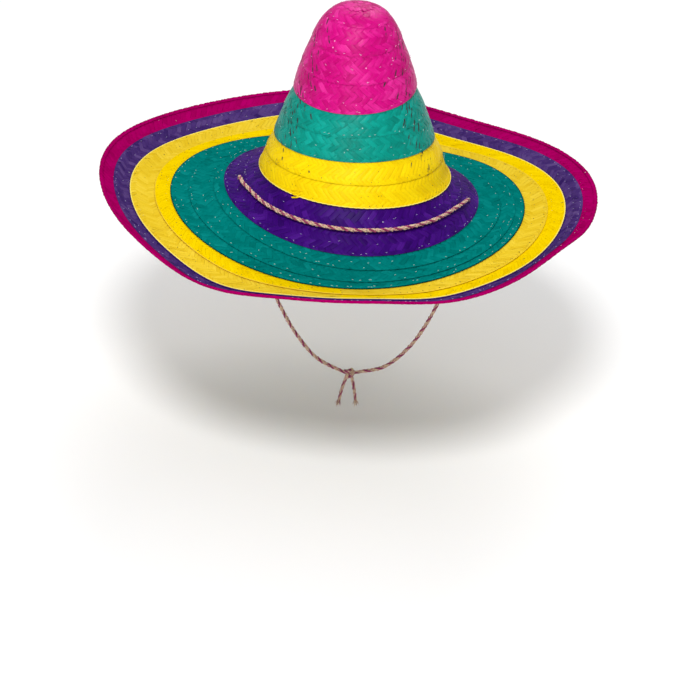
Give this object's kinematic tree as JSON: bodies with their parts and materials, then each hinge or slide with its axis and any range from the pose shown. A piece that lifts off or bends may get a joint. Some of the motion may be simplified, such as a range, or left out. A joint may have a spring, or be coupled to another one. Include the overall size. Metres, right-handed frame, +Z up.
{
  "type": "sombrero",
  "caption": "Wide-brimmed straw sombrero of lapped braided palm courses, with a tall round-tipped crown and a twisted cord over the crown that hangs below as a chin loop.",
  "frame": {"origin": "centre of the head opening, where the crown meets the brim", "axes": "+Z up along the crown, the wearer faces -Y, +X is the wearer's left"},
  "size_m": [0.4978, 0.4978, 0.4394],
  "materials": {
    "pink_palm": "dyed palm leaf, satin",
    "teal_palm": "dyed palm leaf, satin",
    "yellow_palm": "dyed palm leaf, satin",
    "purple_palm": "dyed palm leaf, satin",
    "dull_purple_palm": "dyed palm leaf, matt",
    "twisted_cord": "three-strand twisted cord, cream, magenta and maroon"
  },
  "bodies": {
    "hat": {"crown_tip": "pink_palm", "crown_pink_1": "pink_palm", "crown_pink_2": "pink_palm", "crown_pink_3": "pink_palm", "crown_pink_4": "pink_palm", "crown_teal_1": "teal_palm", "crown_teal_2": "teal_palm", "crown_yellow_1": "yellow_palm", "crown_yellow_2": "yellow_palm", "crown_purple": "purple_palm", "brim_purple_inner": "purple_palm", "brim_teal_1": "teal_palm", "brim_teal_2": "teal_palm", "brim_teal_3": "teal_palm", "brim_yellow_1": "yellow_palm", "brim_yellow_2": "yellow_palm", "brim_purple_outer": "dull_purple_palm", "brim_pink": "pink_palm", "brim_hem": "pink_palm", "cord_crown": "twisted_cord"},
    "chin_loop": {"chin_cord_left": "twisted_cord", "chin_cord_right": "twisted_cord", "chin_knot": "twisted_cord"}
  },
  "joints": [
    {"name": "chin_cord_swing", "type": "hinge", "parent": "hat", "child": "chin_loop", "pos_m": [0, 0.01, -0.015], "axis": [1, 0, 0], "range_deg": [-75, 75]}
  ]
}
